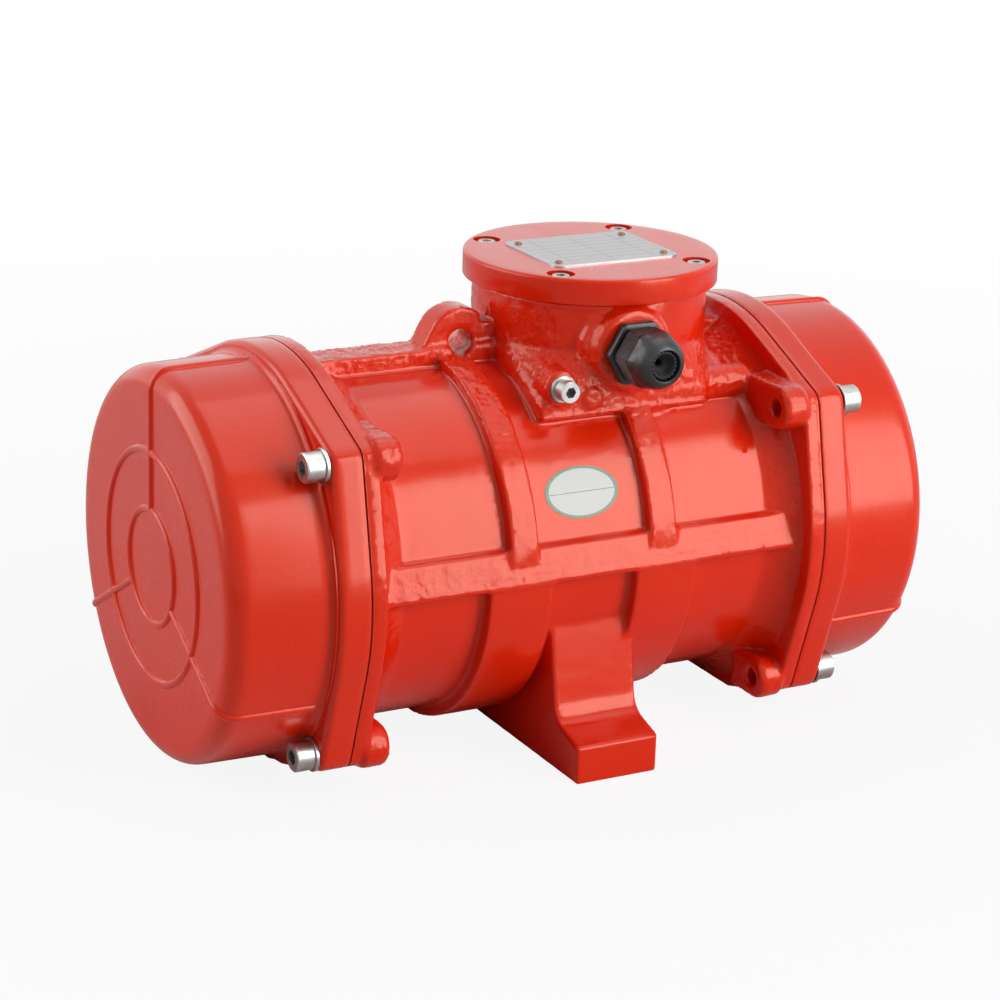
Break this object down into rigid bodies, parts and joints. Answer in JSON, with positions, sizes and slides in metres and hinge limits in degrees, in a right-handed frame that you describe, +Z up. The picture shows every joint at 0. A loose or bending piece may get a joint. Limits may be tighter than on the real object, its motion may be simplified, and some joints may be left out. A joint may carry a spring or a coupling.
{
  "type": "vibration motor",
  "caption": "Electric vibration motor: orange cast body with round end covers over eccentric weights, round terminal box with cable gland, lifting eye and cross foot.",
  "frame": {"origin": "centre of the foot's underside, below the middle of the shaft", "axes": "+X along the shaft towards the terminal box end, -Y towards the cable gland side, +Z up"},
  "size_m": [0.3426, 0.2, 0.2097],
  "materials": {
    "orange_enamel": "glossy baked enamel on castings, smooth on the covers and lid",
    "bright_steel": "zinc plated fasteners, satin",
    "shaft_steel": "turned and ground steel",
    "weight_steel": "flame-cut steel plate, oiled",
    "lamination": "stacked electrical steel, dull",
    "bearing_steel": "ground bearing steel, bright",
    "bearing_brass": "machined brass, satin",
    "copper_wire": "varnished copper winding",
    "cage_aluminium": "cast aluminium, matt",
    "plate_aluminium": "bare aluminium sheet, satin",
    "rivet_copper": "copper, dull",
    "raw_casting": "machined cast iron",
    "dark_gasket": "dark brown jointing, matt",
    "black_nylon": "moulded nylon, satin",
    "seal_rubber": "soft rubber, matt",
    "terminal_moulding": "moulded thermoset, satin",
    "terminal_brass": "brass, satin"
  },
  "bodies": {
    "frame": {"housing": "orange_enamel", "terminal_lid": "orange_enamel", "stator_core": "lamination", "stator_windings": "copper_wire", "terminal_lid_gasket": "dark_gasket", "terminal_lid_screws": "bright_steel", "nameplate": "plate_aluminium", "nameplate_rivets": "rivet_copper", "gland_body": "black_nylon", "gland_seal": "seal_rubber", "ground_screw": "bright_steel", "ground_washer": "bright_steel", "terminal_block": "terminal_moulding", "terminal_studs": "terminal_brass", "terminal_nuts": "terminal_brass", "terminal_block_screws": "bright_steel", "cover_left": "orange_enamel", "cover_right": "orange_enamel", "cover_gasket_left": "dark_gasket", "cover_gasket_right": "dark_gasket", "cover_screws_left": "bright_steel", "cover_screws_right": "bright_steel", "cover_washers_left": "bright_steel", "cover_washers_right": "bright_steel", "bearing_shield_left": "raw_casting", "bearing_shield_right": "raw_casting", "shield_screws_left": "bright_steel", "shield_screws_right": "bright_steel", "bearing_cap_left": "raw_casting", "bearing_cap_right": "raw_casting", "bearing_cap_screws_left": "bright_steel", "bearing_cap_screws_right": "bright_steel", "bearing_outer_race_left": "bearing_steel", "bearing_outer_race_right": "bearing_steel"},
    "rotor": {"shaft": "shaft_steel", "rotor_core": "lamination", "rotor_cage": "cage_aluminium", "bearing_inner_race_left": "bearing_steel", "bearing_inner_race_right": "bearing_steel", "shaft_spacer_left": "shaft_steel", "shaft_spacer_right": "shaft_steel", "inner_weight_left": "weight_steel", "inner_weight_right": "weight_steel", "inner_weight_clamp_screw_left": "bright_steel", "inner_weight_clamp_screw_right": "bright_steel", "weight_key_left": "shaft_steel", "weight_key_right": "shaft_steel", "circlip_left": "bright_steel", "circlip_right": "bright_steel"},
    "outer_weight_left": {"outer_weight_left": "weight_steel", "outer_weight_clamp_screw_left": "bright_steel"},
    "outer_weight_right": {"outer_weight_right": "weight_steel", "outer_weight_clamp_screw_right": "bright_steel"},
    "bearing_cage_left": {"bearing_rollers_left": "bearing_steel", "bearing_cage_left": "bearing_brass"},
    "bearing_cage_right": {"bearing_rollers_right": "bearing_steel", "bearing_cage_right": "bearing_brass"},
    "gland_nut": {"gland_nut": "black_nylon"}
  },
  "joints": [
    {"name": "rotor_spin", "type": "hinge", "parent": "frame", "child": "rotor", "pos_m": [0, 0, 0.088], "axis": [1, 0, 0], "continuous": true},
    {"name": "outer_weight_left_adjust", "type": "hinge", "parent": "rotor", "child": "outer_weight_left", "pos_m": [0, 0, 0.088], "axis": [1, 0, 0], "range_deg": [0, 180]},
    {"name": "outer_weight_right_adjust", "type": "hinge", "parent": "rotor", "child": "outer_weight_right", "pos_m": [0, 0, 0.088], "axis": [1, 0, 0], "range_deg": [0, 180]},
    {"name": "bearing_cage_left_spin", "type": "hinge", "parent": "frame", "child": "bearing_cage_left", "pos_m": [0, 0, 0.088], "axis": [1, 0, 0], "continuous": true},
    {"name": "bearing_cage_right_spin", "type": "hinge", "parent": "frame", "child": "bearing_cage_right", "pos_m": [0, 0, 0.088], "axis": [1, 0, 0], "continuous": true},
    {"name": "gland_nut_turn", "type": "hinge", "parent": "frame", "child": "gland_nut", "pos_m": [0.031, -0.07, 0.176], "axis": [0, -1, 0], "range_deg": [0, 360]}
  ],
  "couplings": [
    {"joint": "bearing_cage_left_spin", "follows": "rotor_spin", "ratio": 0.4087},
    {"joint": "bearing_cage_right_spin", "follows": "rotor_spin", "ratio": 0.4087}
  ]
}
